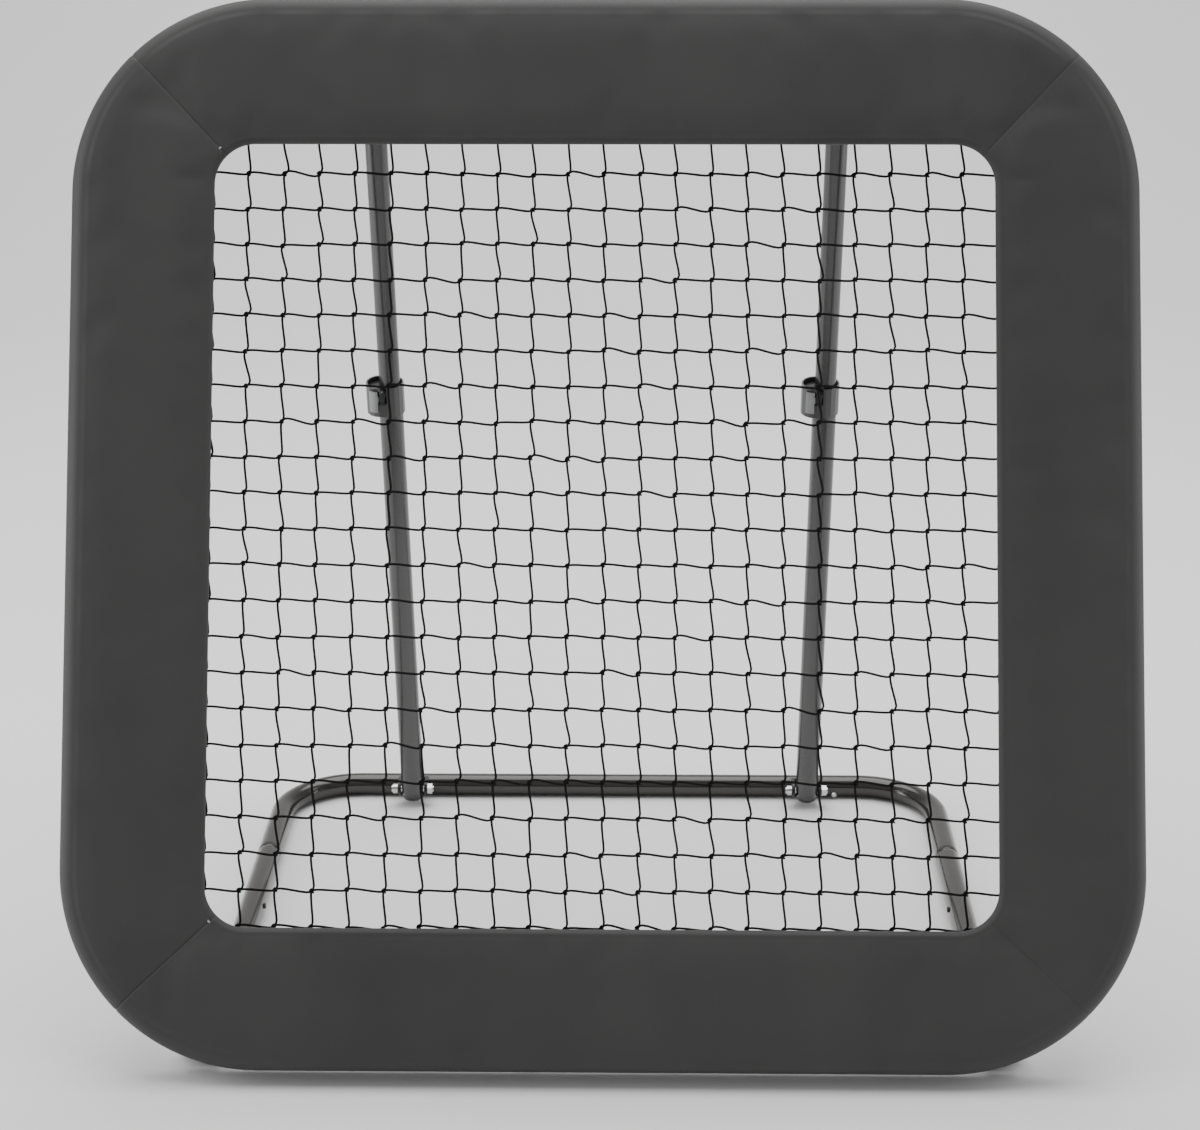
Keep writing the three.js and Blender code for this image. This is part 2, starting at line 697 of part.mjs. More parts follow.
for (const [side, sign] of [['left', -1], ['right', 1]]) {
  const hingeX = sign * BASE_WIDE / 2;
  const legX = sign * LEG_X;
  panelFace.add(
    named(`hinge_bracket_${side}`, hingeBracket(hingeX), 'bracket'),
    named(`leg_bracket_${side}`, legBracket(legX), 'bracket'));
  rebounder.add(
    named(`hinge_bolt_${side}`, boltGeometry(hingeX, 0, FLOOR_TUBE, TUBE + 3.6, 6.5), 'chrome'),
    named(`hinge_nut_${side}`, nutGeometry(hingeX, 0, FLOOR_TUBE, TUBE + 3.6, 7), 'chrome'));

  const leg = new THREE.Group();
  leg.position.set(legX, LEG_FOOT.x, LEG_FOOT.y);
  leg.rotation.x = lean;
  leg.add(
    named(`lower_leg_tube_${side}`, lowerTube(), 'leg'),
    named(`leg_foot_plug_${side}`, footPlug(), 'leg'),
    named(`clamp_collar_${side}`, collarGeometry(), 'collar'),
    named(`clamp_insert_${side}`, insertGeometry(), 'plastic'),
    named(`clamp_lever_${side}`, leverGeometry(), 'lever'),
    named(`lever_pin_${side}`, pinGeometry(), 'chrome'),
    named(`upper_leg_tube_${side}`, upperTube(legLength), 'leg'),
    named(`leg_head_plug_${side}`, headPlug(legLength), 'plastic'),
    named(`leg_head_bolt_${side}`, boltGeometry(0, 0, legLength, UPPER_TUBE + 3.6, 9.5), 'chrome'),
    named(`leg_head_nut_${side}`, nutGeometry(0, 0, legLength, UPPER_TUBE + 3.6, 8), 'chrome'));
  rebounder.add(leg);
}

// Stand the origin on the floor under the middle of the whole.
rebounder.updateMatrixWorld(true);
const box = new THREE.Box3().setFromObject(rebounder, true);
rebounder.position.set(0, -(box.min.y + box.max.y) / 2, -box.min.z);

export default rebounder;
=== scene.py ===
import math

import bpy
import numpy as np
from mathutils import Matrix


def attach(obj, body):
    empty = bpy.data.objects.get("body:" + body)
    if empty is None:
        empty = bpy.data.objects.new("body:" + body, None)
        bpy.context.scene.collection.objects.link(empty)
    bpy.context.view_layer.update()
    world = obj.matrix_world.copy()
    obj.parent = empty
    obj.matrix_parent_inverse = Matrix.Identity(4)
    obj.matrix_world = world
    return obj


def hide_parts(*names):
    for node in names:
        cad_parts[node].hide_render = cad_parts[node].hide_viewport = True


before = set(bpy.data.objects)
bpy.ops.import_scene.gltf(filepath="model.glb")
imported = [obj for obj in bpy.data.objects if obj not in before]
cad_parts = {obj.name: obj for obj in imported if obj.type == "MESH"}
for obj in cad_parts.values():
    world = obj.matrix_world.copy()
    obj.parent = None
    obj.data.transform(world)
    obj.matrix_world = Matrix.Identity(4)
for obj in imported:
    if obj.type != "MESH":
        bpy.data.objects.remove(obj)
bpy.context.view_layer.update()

# ---------------------------------------------------------------------------
# Pitch back rebounder. Sizes in millimetres; meshes are turned to metres last.
# ---------------------------------------------------------------------------

TILT = math.radians(22.5)      # the panel leans back this far from the vertical
HINGE_BACK = -280.62           # the hinge axis, from the origin
FLOOR_TUBE = 12.267            # height of a tube's axis when it lies on the floor
LEAN = math.radians(14.586157) # the legs lean forward this far
LEG_LENGTH = 893.6605          # from the foot bolt to the head bolt
LEG_FOOT = (580.0, 20.0)       # foot bolt: behind the hinge axis, above the floor
LEG_X = 225.0
BASE_X = 368.0
REAR_Y = 612.0
JOINT_Y = 415.0

HALF = 500.0                   # half the cover's side
CORNER = 185.0                 # outer corner radius
STRIP = 136.0                  # width of a padded strip
OPENING_CORNER = 38.0
DROP = 5.0                     # the cover's opening sits this much below its middle
STRAIGHT = 317.0               # half the straight stretch of the frame tube
BEND = 161.0                   # bend radius of the frame tube
SIDE_RUN = 2.0 * STRAIGHT + BEND * math.pi / 2.0   # the frame tube's length along one side
MITRE = STRAIGHT + BEND * math.pi / 4.0            # the station of a seam
TUBE = 12.7                    # radius of frame, base and lower leg tubes
UPPER_TUBE = 11.1
WALL = 1.5
FRAME_IN, FRAME_DEEP = 22.0, 30.0   # the frame tube's axis: in from the edge, behind the front
ROPE_IN = 70.5                 # the border rope's axis, in from the edge
ROPE_RADIUS = 2.5
CORD_RADIUS = 1.75             # the elastic lacing
CELL = 33.6                    # the net's mesh
TWINE_RADIUS = 1.18
KNOT_RADIUS = 1.0
HITCH_RADIUS = 0.85
STITCH_RADIUS = 0.42
TACK_RADIUS = 0.28
FACING = (0.0, -math.cos(TILT), math.sin(TILT))    # the way the panel faces
SIDES = ("bottom", "right", "top", "left")
QUARTER_TURNS = ((1, 0), (0, 1), (-1, 0), (0, -1))
BOTH = (("left", -1.0), ("right", 1.0))


# ---------------------------------------------------------------------------
# Places
# ---------------------------------------------------------------------------

def on_panel(x, v, w):
    """Points given across the panel, up it, and behind its front face, in the object's frame."""
    x, v, w = np.broadcast_arrays(x, v, w)
    up, back = v - 20.0, w - 66.0
    return np.stack([
        x,
        HINGE_BACK + up * math.sin(TILT) + back * math.cos(TILT),
        FLOOR_TUBE + up * math.cos(TILT) - back * math.sin(TILT)], -1).astype(float)


def on_leg(sign, x, y, z):
    """Points given beside a leg's axis, behind it, and along it from its foot bolt."""
    x, y, z = np.broadcast_arrays(x, y, z)
    return np.stack([
        x + sign * LEG_X,
        HINGE_BACK + LEG_FOOT[0] + y * math.cos(LEAN) - z * math.sin(LEAN),
        LEG_FOOT[1] + y * math.sin(LEAN) + z * math.cos(LEAN)], -1).astype(float)


def on_floor(x, y, z):
    """Points given across, behind the hinge axis, and above the floor."""
    x, y, z = np.broadcast_arrays(x, y, z)
    return np.stack([x, y + HINGE_BACK, z], -1).astype(float)


def outline(inward, station, quarter):
    """A point of the panel's rounded square: inward from the cover's edge, at a station along
    one side. Within the straight stretch the point moves straight; past it, it turns about a
    corner whose radius shrinks from CORNER at the edge to OPENING_CORNER at the opening."""
    half = HALF - inward
    radius = CORNER - inward * (CORNER - OPENING_CORNER) / STRIP
    turn = np.clip((np.abs(station) - STRAIGHT) / BEND, 0.0, None)
    run = np.clip(np.abs(station) / STRAIGHT, 0.0, 1.0) * (half - radius)
    x = np.sign(station) * (run + radius * np.sin(turn))
    y = -half + radius * (1.0 - np.cos(turn))
    c, s = QUARTER_TURNS[quarter % 4]
    return x * c - y * s, HALF + x * s + y * c


def round_trip(distance):
    """Side and station for a distance along the frame tube from the middle of the bottom side."""
    quarter = np.floor(distance / SIDE_RUN + 0.5).astype(int)
    return quarter, distance - quarter * SIDE_RUN


def outline_length(inward):
    """How long one side of the rounded square is at this distance in from the cover's edge."""
    half = HALF - inward
    radius = CORNER - inward * (CORNER - OPENING_CORNER) / STRIP
    return 2 * (half - radius) + radius * math.pi / 2


def lowered(v, inward):
    """Heights on the cover, brought down by nothing at the frame tube and DROP at the opening."""
    return v - DROP * np.clip((inward - FRAME_IN) / (STRIP - FRAME_IN), 0, 1)


def ring_points(inward, depth, distance):
    """Panel points round the whole outline, for arrays of inward, depth and distance."""
    quarter, station = round_trip(np.asarray(distance, float))
    inward, depth, station, quarter = np.broadcast_arrays(inward, depth, station, quarter)
    x, v = np.zeros(station.shape), np.zeros(station.shape)
    for q in np.unique(quarter):
        here = quarter == q
        x[here], v[here] = outline(inward[here], station[here], int(q))
    return x, v, depth


# ---------------------------------------------------------------------------
# Surfaces
# ---------------------------------------------------------------------------

def piece(name, points, faces, body, look, uv=None):
    """Makes one named mesh from points in millimetres and lists of corner numbers."""
    mesh = bpy.data.meshes.new(name)
    corners = np.concatenate([np.asarray(f, np.int32).reshape(-1) for f in faces])
    lengths = np.concatenate([np.full(len(f), np.asarray(f).shape[1], np.int32) for f in faces])
    starts = np.concatenate([[0], np.cumsum(lengths)[:-1]]).astype(np.int32)
    mesh.vertices.add(len(points))
    mesh.vertices.foreach_set("co", (np.asarray(points, float) * 0.001).astype(np.float32).ravel())
    mesh.loops.add(len(corners))
    mesh.loops.foreach_set("vertex_index", corners)
    mesh.polygons.add(len(lengths))
    mesh.polygons.foreach_set("loop_start", starts)
    if uv is not None:
        layer = mesh.uv_layers.new(name="UVMap")
        layer.data.foreach_set("uv", np.asarray(uv, np.float32)[corners].ravel())
    mesh.polygons.foreach_set("use_smooth", np.ones(len(lengths), bool))
    mesh.update(calc_edges=True)
    mesh.validate()
    thing = bpy.data.objects.new(name, mesh)
    bpy.context.collection.objects.link(thing)
    thing.data.materials.append(look)
    if body:
        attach(thing, body)
    return thing


def sheet_faces(rows, columns, wrap=False):
    """Quads of a grid of points; with wrap the last column joins the first."""
    across = np.arange(columns if wrap else columns - 1)
    i, j = np.meshgrid(np.arange(rows - 1), across, indexing="ij")
    k = (j + 1) % columns
    here, after = i * columns, (i + 1) * columns
    return np.stack([here + j, here + k, after + k, after + j], -1).reshape(-1, 4)


def caps(rows, columns):
    """End faces of a closed tube grid, each one polygon."""
    ring = np.arange(columns)
    return [ring[::-1][None], (ring + (rows - 1) * columns)[None]]


def tube_grid(centre, across, up, radius, sides):
    """Circles of the given radius carried along a path: centre, and two unit directions that
    span each circle's plane. The circle's angle runs from the first towards the second."""
    angle = np.arange(sides) * 2.0 * math.pi / sides
    cosine, sine = np.cos(angle)[None, :, None], np.sin(angle)[None, :, None]
    radius = np.broadcast_to(radius, centre.shape[:1])[:, None, None]
    return centre[:, None] + radius * (cosine * across[:, None] + sine * up[:, None])


def directions(path, plane=None):
    """Unit tangent, and two directions square to it; the second is the given plane's normal,
    or, for a free path, a direction turned as little as possible from point to point."""
    tangent = np.gradient(path, axis=0)
    tangent /= np.linalg.norm(tangent, axis=1, keepdims=True)
    if plane is not None:
        normal = np.broadcast_to(np.asarray(plane, float), tangent.shape)
        across = np.cross(normal, tangent)
        across /= np.linalg.norm(across, axis=1, keepdims=True)
        return across, np.cross(tangent, across)
    guide = np.zeros(3)
    guide[np.argmin(np.abs(tangent[0]))] = 1.0
    up = np.empty_like(tangent)
    up[0] = np.cross(tangent[0], guide)
    for n in range(1, len(tangent)):
        up[n] = up[n - 1] - tangent[n] * np.dot(up[n - 1], tangent[n])
        up[n] /= np.linalg.norm(up[n])
    up[0] /= np.linalg.norm(up[0])
    return np.cross(up, tangent), up


def travelled(path):
    """The distance along a path from its start to each of its points."""
    return np.concatenate([[0.0], np.cumsum(np.linalg.norm(np.diff(path, axis=0), axis=1))])


def carried(name, path, radius, sides, body, look, plane=None):
    """A round section of changing radius carried along a path of points, its ends closed.
    Its UV runs along the length and round the section, in millimetres."""
    across, up = directions(path, plane)
    if np.dot(np.cross(across[0], up[0]), path[1] - path[0]) < 0:
        across = -across
    grid = tube_grid(path, across, up, radius, sides)
    around = np.arange(sides) / sides
    uv = np.stack(np.meshgrid(travelled(path), around, indexing="ij"), -1).reshape(-1, 2)
    rows = len(path)
    faces = [sheet_faces(rows, sides, True)] + caps(rows, sides)
    return piece(name, grid.reshape(-1, 3), faces, body, look, uv)


def turned(name, place, profile, sides, body, look):
    """A profile of (along, radius) turned about an axis; place maps (x, y, along) to a point.
    The first and last radius are nothing, so the ends close in a point."""
    along, radius = np.array(profile, float).T
    angle = np.arange(sides) * 2.0 * math.pi / sides
    x = radius[1:-1, None] * np.cos(angle)
    y = radius[1:-1, None] * np.sin(angle)
    z = np.broadcast_to(along[1:-1, None], x.shape)
    body_points = place(x, y, z).reshape(-1, 3)
    ends = place(np.zeros(2), np.zeros(2), along[[0, -1]])
    rows = len(profile) - 2
    points = np.concatenate([body_points, ends])
    ring = np.arange(sides)
    after = (ring + 1) % sides
    last = (rows - 1) * sides
    foot = np.stack([after, ring, np.full(sides, rows * sides)], -1)
    head = np.stack([ring + last, after + last, np.full(sides, rows * sides + 1)], -1)
    return piece(name, points, [sheet_faces(rows, sides, True), foot, head], body, look)


def arc(x, y, radius, start, end, steps):
    """Points of a circle about (x, y) from one angle in degrees to another, both ends in."""
    angle = np.radians(np.linspace(start, end, steps + 1))
    return np.stack([x + radius * np.cos(angle), y + radius * np.sin(angle)], -1)


def rounded(profile, radius, steps=3):
    """The same outline with each corner cut by a short curve, kept between its neighbours."""
    profile = np.asarray(profile, float)
    out = [profile[:1]]
    for before, here, after in zip(profile[:-2], profile[1:-1], profile[2:]):
        arrive, leave = before - here, after - here
        reach = min(radius, 0.45 * np.linalg.norm(arrive), 0.45 * np.linalg.norm(leave))
        a = here + arrive / max(np.linalg.norm(arrive), 1e-9) * reach
        b = here + leave / max(np.linalg.norm(leave), 1e-9) * reach
        t = np.linspace(0, 1, steps + 1)[:, None]
        out.append((1 - t) ** 2 * a + 2 * t * (1 - t) * here + t ** 2 * b)
    out.append(profile[-1:])
    return np.concatenate(out)


def smooth_path(points, steps):
    """A curve through every point, each stretch a cubic that leaves along its neighbours."""
    p = np.asarray(points, float)
    q = np.concatenate([2 * p[:1] - p[1:2], p, 2 * p[-1:] - p[-2:-1]])
    t = (np.arange(steps) / steps)[None, :, None]
    a, b, c, d = (q[:-3, None], q[1:-2, None], q[2:-1, None], q[3:, None])
    curve = 0.5 * (2 * b + (c - a) * t + (2 * a - 5 * b + 4 * c - d) * t ** 2
                   + (3 * b - a - 3 * c + d) * t ** 3)
    return np.concatenate([curve.reshape(-1, p.shape[1]), p[-1:]])


# ---------------------------------------------------------------------------
# Shading
# ---------------------------------------------------------------------------

class Value:
    """A value in a material. Arithmetic on it adds the step that works it out."""

    def __init__(self, tree, socket):
        self.tree = tree
        self.socket = socket

    def node(self, kind, inputs, out=0, **settings):
        made = self.tree.nodes.new(kind)
        for key, setting in settings.items():
            setattr(made, key, setting)
        for key, value in inputs.items():
            if isinstance(value, Value):
                self.tree.links.new(value.socket, made.inputs[key])
            else:
                made.inputs[key].default_value = value
        return Value(self.tree, made.outputs[out])

    def work(self, operation, *values):
        flat = [v for v in values if isinstance(v, Value)]
        if any(v.socket.type in ("VECTOR", "RGBA") for v in flat):
            whole = [v if isinstance(v, Value) or hasattr(v, "__len__") else (v, v, v)
                     for v in values]
            return self.node("ShaderNodeVectorMath", dict(enumerate(whole)), operation=operation)
        return self.node("ShaderNodeMath", dict(enumerate(values)), operation=operation)

    def __add__(self, other): return self.work("ADD", self, other)
    def __radd__(self, other): return self.work("ADD", other, self)
    def __sub__(self, other): return self.work("SUBTRACT", self, other)
    def __rsub__(self, other): return self.work("SUBTRACT", other, self)
    def __mul__(self, other): return self.work("MULTIPLY", self, other)
    def __rmul__(self, other): return self.work("MULTIPLY", other, self)

    def part(self, axis):
        return self.node("ShaderNodeSeparateXYZ", {0: self}, out="XYZ".index(axis))

    def sin(self): return self.work("SINE", self)
    def clamp(self): return self.node("ShaderNodeClamp", {0: self})

    def between(self, low, high):
        """0 below low, 1 above high, eased between."""
        return self.node("ShaderNodeMapRange", {"Value": self, "From Min": low, "From Max": high},
                         interpolation_type="SMOOTHSTEP")

    def mix(self, a, b):
        """Colour a where this is 0, colour b where it is 1."""
        a, b = (colour if isinstance(colour, Value) else (*colour, 1.0) for colour in (a, b))
        return self.node("ShaderNodeMix", {0: self, 6: a, 7: b}, out=2, data_type="RGBA")

    def noise(self, scale, detail=2.0, rough=0.5, stretch=None):
        place = self * stretch if stretch else self
        return self.node("ShaderNodeTexNoise", {"Vector": place, "Scale": scale, "Detail": detail,
                                                "Roughness": rough})


def material(name, roughness, build, **uniform):
    """A material: uniform values go on the shader itself, and build(place, uv) gives what varies:
    a dictionary of colour, roughness and height, the height in millimetres."""
    made = bpy.data.materials.new(name)
    made.use_nodes = True
    tree = made.node_tree
    shader = tree.nodes["Principled BSDF"]
    shader.inputs["Roughness"].default_value = roughness
    for key, value in uniform.items():
        shader.inputs[key.replace("_", " ")].default_value = value
    start = Value(tree, None)
    place = start.node("ShaderNodeTexCoord", {}, out="Object")
    uv = start.node("ShaderNodeTexCoord", {}, out="UV")
    for key, value in build(place, uv).items():
        if key == "height":
            relief = {"Height": value, "Distance": 0.001, "Strength": 1.0}
            key, value = "Normal", value.node("ShaderNodeBump", relief)
        tree.links.new(value.socket, shader.inputs[key])
    return made


def grey(value, warm=0.0):
    """A grey, or one a little redder than it is blue."""
    return (value * (1 + warm), value, value * (1 - warm))


def coated_fabric(place, uv):
    """Matt coated cloth: a 0.9 mm plain weave pressed nearly flat, a slow drift of tone, faint
    scuffs. UV is millimetres along the strip and across it."""
    u, v = uv.part("X"), uv.part("Y")
    weave = (u * (2 * math.pi / 0.9)).sin() * (v * (2 * math.pi / 0.9)).sin()
    drift = place.noise(2.2, 3.0, 0.5, (3.0, 1.0, 0.6))
    cloud = place.noise(14.0, 4.0, 0.55)
    scuff = place.noise(60.0, 6.0, 0.7, (1.0, 0.4, 0.4)).between(0.60, 0.78)
    tone = (drift * 0.7 + cloud * 0.3).between(0.3, 0.7)
    colour = tone.mix(grey(0.042, 0.005), grey(0.052, 0.012))
    relief = weave * 0.018 + place.noise(420.0, 3.0, 0.6) * 0.03 + place.noise(30.0, 2.0) * 0.10
    return {"Base Color": (scuff * 0.20).mix(colour, grey(0.075, 0.01)),
            "Roughness": 0.50 + cloud * 0.14 + scuff * 0.08,
            "height": relief}


def lining(place, uv):
    """The cover's back: a plain woven cloth without the coating's sheen."""
    u, v = uv.part("X"), uv.part("Y")
    weave = (u * (2 * math.pi / 1.2)).sin() * (v * (2 * math.pi / 1.2)).sin()
    cloud = place.noise(20.0, 4.0, 0.6)
    return {"Base Color": cloud.mix(grey(0.018), grey(0.030, 0.02)),
            "Roughness": 0.75 + cloud * 0.15,
            "height": weave * 0.06 + cloud * 0.05}


def braid(pitch, strands, low, high):
    """A twisted or braided cord: ridges that wind round it. UV is along in mm, and round."""
    def build(place, uv):
        u, v = uv.part("X"), uv.part("Y")
        one = (u * (2 * math.pi / pitch) + v * (2 * math.pi * strands)).sin()
        other = (u * (2 * math.pi / pitch) - v * (2 * math.pi * strands)).sin()
        ridge = (one * other + 1.0) * 0.5
        fuzz = place.noise(900.0, 3.0, 0.7)
        return {"Base Color": (ridge * 0.6 + fuzz * 0.4).mix(grey(low), grey(high, 0.02)),
                "Roughness": 0.70 + fuzz * 0.2,
                "height": ridge * 0.12 + fuzz * 0.10}
    return build


def webbing(place, uv):
    """Flat woven band: ribs across it every 1.4 mm, threads along it every 0.7 mm."""
    u, v = uv.part("X"), uv.part("Y")
    ribs = (u * (2 * math.pi / 1.4)).sin()
    threads = (v * (2 * math.pi / 0.7)).sin()
    fuzz = place.noise(500.0, 3.0, 0.7)
    tone = (ribs * 0.3 + 0.5 + fuzz * 0.2).clamp()
    return {"Base Color": tone.mix(grey(0.010), grey(0.028, 0.02)),
            "Roughness": 0.75 + fuzz * 0.15,
            "height": ribs * 0.10 + threads * 0.04}


def powder_coat(dark, light, rough, peel, wear=0.12):
    """Baked paint: fine orange peel, a slow drift of tone, a few dull rubbed spots."""
    def build(place, uv):
        skin = place.noise(700.0, 2.0, 0.5)
        drift = place.noise(9.0, 3.0, 0.5)
        rub = place.noise(45.0, 5.0, 0.65, (1.0, 1.0, 0.5)).between(0.58, 0.75)
        return {"Base Color": (drift * 0.8 + rub * wear * 2.0).clamp().mix(dark, light),
                "Roughness": rough + drift * 0.07 + rub * wear,
                "height": skin * peel}
    return build


def moulded(low, high):
    """Moulded plastic: a fine even grain and a faint cloud of tone and gloss."""
    def build(place, uv):
        grain = place.noise(1100.0, 3.0, 0.6)
        cloud = place.noise(60.0, 3.0, 0.5)
        return {"Base Color": cloud.mix(grey(low), grey(high)),
                "Roughness": 0.42 + cloud * 0.2,
                "height": grain * 0.05}
    return build


def zinc(place, uv):
    """Bright plated steel with the faint mottle of its bath and fine scratches."""
    cloud = place.noise(140.0, 4.0, 0.6)
    line = place.noise(900.0, 2.0, 0.5, (0.15, 1.0, 1.0))
    return {"Base Color": cloud.mix(grey(0.50, 0.01), grey(0.72, -0.01)),
            "Roughness": 0.16 + cloud * 0.14 + line * 0.08,
            "height": line * 0.02}


def lever_steel(sign):
    """Drawn steel with fine lines along it on the lever's tab, blackened round the pin."""
    def build(place, uv):
        line = place.noise(260.0, 4.0, 0.6, (1.0, 1.0, 0.08))
        cloud = place.noise(70.0, 3.0, 0.5)
        hub = place.part("X").between((sign * LEG_X - 11.5) * 0.001, (sign * LEG_X - 10.5) * 0.001)
        steel = (line * 0.6 + cloud * 0.4).mix(grey(0.22), grey(0.36, -0.01))
        return {"Base Color": hub.mix(steel, grey(0.010)),
                "Roughness": 0.30 + line * 0.15 + cloud * 0.10 + hub * 0.2,
                "Metallic": 0.85 - hub * 0.85,
                "height": line * 0.03}
    return build


COVER = material("cover_fabric", 0.55, coated_fabric, Specular_IOR_Level=0.25)
LINING = material("cover_lining", 0.8, lining)
# pale thread that is painted light: it stands for light showing through the gap at the inner ends
# of the left seams
GAP_LIGHT_TACK = material("gap_light_tack_thread", 0.6, braid(1.0, 2, 0.30, 0.55))
THREAD = material("cover_thread", 0.7, braid(1.2, 2, 0.030, 0.055))
TWINE = material("net_twine", 0.8, braid(1.6, 2, 0.004, 0.012), Specular_IOR_Level=0.12)
ROPE = material("border_rope", 0.8, braid(5.0, 3, 0.008, 0.022), Specular_IOR_Level=0.2)
ELASTIC = material("elastic_cord", 0.75, braid(2.4, 4, 0.012, 0.034))
STRAP = material("strap_webbing", 0.8, webbing)
FRAME = material("frame_paint", 0.4, powder_coat(grey(0.034), grey(0.048), 0.34, 0.05),
                 Specular_IOR_Level=0.5)
BASE = material("base_paint", 0.2,
                powder_coat((0.016, 0.013, 0.011), (0.024, 0.020, 0.017), 0.15, 0.02, 0.03),
                Specular_IOR_Level=0.7)
LEG = material("leg_paint", 0.3,
               powder_coat(grey(0.085), grey(0.100, 0.01), 0.22, 0.02, 0.03), Metallic=0.75)
COLLAR = material("collar_paint", 0.3,
                  powder_coat(grey(0.085), grey(0.110, 0.01), 0.26, 0.02, 0.04), Metallic=0.65)
LEVER = {side: material(f"lever_steel_{side}", 0.35, lever_steel(sign)) for side, sign in BOTH}
PLASTIC = material("black_plastic", 0.5, moulded(0.006, 0.012))
BRACKET = material("black_bracket", 0.45, powder_coat(grey(0.009), grey(0.017), 0.36, 0.07))
STEEL = material("bright_steel", 0.2, zinc, Metallic=1.0)


# ---------------------------------------------------------------------------
# Cover
# ---------------------------------------------------------------------------

SKIN = 1.6                     # the cover cloth
PAD = 12.4                     # depth of a strip's back behind its front
HEM = 6.2                      # radius of the rolled hem
RIM = 16.0                     # where the padded front begins, in from the edge
HEM_LINE = STRIP - 7.5         # the hem's stitched groove on the front
HEM_BACK = STRIP - 14.0        # the hem's stitches on the back
MOST_RISE = 3.2                # the padded front stands this far forward at most


def cover_front():
    """The cover's outer face as (inward, depth): behind the frame tube, round the rim, over the
    padded front to the hem's stitched groove, round the hem and back along the strip's back."""
    return np.concatenate([
        arc(14, 32, 14, 130, 180, 8)[:-1],
        np.linspace([0, 32], [0, 18], 4)[:-1],
        arc(18, 18, 18, 180, 270, 14)[:-1],
        np.linspace([18, 0], [STRIP - HEM, 0], 40)[:-1],
        arc(STRIP - HEM, HEM, HEM, 270, 450, 16)[:-1],
        np.linspace([STRIP - HEM, PAD], [41, PAD], 12)])


def cover_back():
    """The same skin's inner face, a fabric's thickness inside."""
    return np.concatenate([
        arc(14, 32, 14 - SKIN, 130, 180, 6)[:-1],
        arc(18, 18, 18 - SKIN, 180, 270, 10)[:-1],
        np.linspace([18, SKIN], [STRIP - HEM, SKIN], 10)[:-1],
        arc(STRIP - HEM, HEM, HEM - SKIN, 270, 450, 8)[:-1],
        np.linspace([STRIP - HEM, PAD - SKIN], [41, PAD - SKIN], 6)])


def mitre_distance(inward, station):
    """How far a point of a strip is from the seam at its end."""
    x, y = outline(inward, station, 0)
    corner = np.abs(x) + (y - HALF)
    return -corner / math.sqrt(2.0)


def padding_swell(quarter):
    """Blows one strip's front up as sewn padding does: a coarse cloth held along its hem, its
    rim and both seams, under pressure. Gives how far each grid point came forward, cut off at
    MOST_RISE. The cloth rises by up to 8 mm and over half of the points reach the cut, so the
    middle of a strip is flat, and only its edges and ends keep the cloth's shape."""
    across = np.linspace(RIM, HEM_LINE, 20)
    stations = np.linspace(-MITRE, MITRE, 110)
    a, s = np.meshgrid(across, stations, indexing="ij")
    x, v = outline(a, s, quarter)
    points = np.stack([x, v, np.zeros_like(x)], -1)
    mesh = bpy.data.meshes.new("swell")
    mesh.from_pydata((points.reshape(-1, 3) * 0.001).tolist(), [], sheet_faces(*a.shape).tolist())
    cloth_piece = bpy.data.objects.new("swell", mesh)
    bpy.context.collection.objects.link(cloth_piece)
    held = cloth_piece.vertex_groups.new(name="held")
    edge = np.zeros(a.shape, bool)
    edge[[0, -1]] = True
    edge[:, [0, -1]] = True
    held.add(np.flatnonzero(edge.ravel()).tolist(), 1.0, "REPLACE")
    cloth = cloth_piece.modifiers.new("cloth", "CLOTH")
    cloth.settings.quality = 5
    cloth.settings.mass = 0.4
    cloth.settings.tension_stiffness = 30
    cloth.settings.compression_stiffness = 30
    cloth.settings.shear_stiffness = 12
    cloth.settings.bending_stiffness = 2.0
    cloth.settings.vertex_group_mass = "held"
    cloth.settings.use_pressure = True
    cloth.settings.uniform_pressure_force = 3.0
    cloth.settings.shrink_min = -0.012
    cloth.settings.effector_weights.gravity = 0.0
    cloth.point_cache.frame_start = 1
    cloth.point_cache.frame_end = 24
    scene = bpy.context.scene
    for step in range(1, 25):
        scene.frame_set(step)
    done = cloth_piece.evaluated_get(bpy.context.evaluated_depsgraph_get())
    result = np.empty(len(mesh.vertices) * 3, np.float32)
    done.data.vertices.foreach_get("co", result)
    scene.frame_set(1)
    bpy.data.objects.remove(cloth_piece)
    lift = result.reshape(*a.shape, 3)[:, :, 2] * 1000.0
    return across, stations, np.clip(np.abs(lift), 0.0, MOST_RISE)


def sampled(across, stations, field, a, s):
    """The field between its grid points, worked out in straight lines."""
    i = np.clip((a - across[0]) / (across[1] - across[0]), 0, len(across) - 1.001)
    j = np.clip((s - stations[0]) / (stations[1] - stations[0]), 0, len(stations) - 1.001)
    i0, j0 = i.astype(int), j.astype(int)
    di, dj = i - i0, j - j0
    return ((1 - di) * (1 - dj) * field[i0, j0] + di * (1 - dj) * field[i0 + 1, j0]
            + (1 - di) * dj * field[i0, j0 + 1] + di * dj * field[i0 + 1, j0 + 1])


def softened(field, times):
    """Each point moved to the mean of itself and its neighbours, a few times over."""
    for _ in range(times):
        padded = np.pad(field, 1, mode="edge")
        field = (padded[1:-1, 1:-1] * 2 + padded[:-2, 1:-1] + padded[2:, 1:-1]
                 + padded[1:-1, :-2] + padded[1:-1, 2:]) / 6.0
    return field


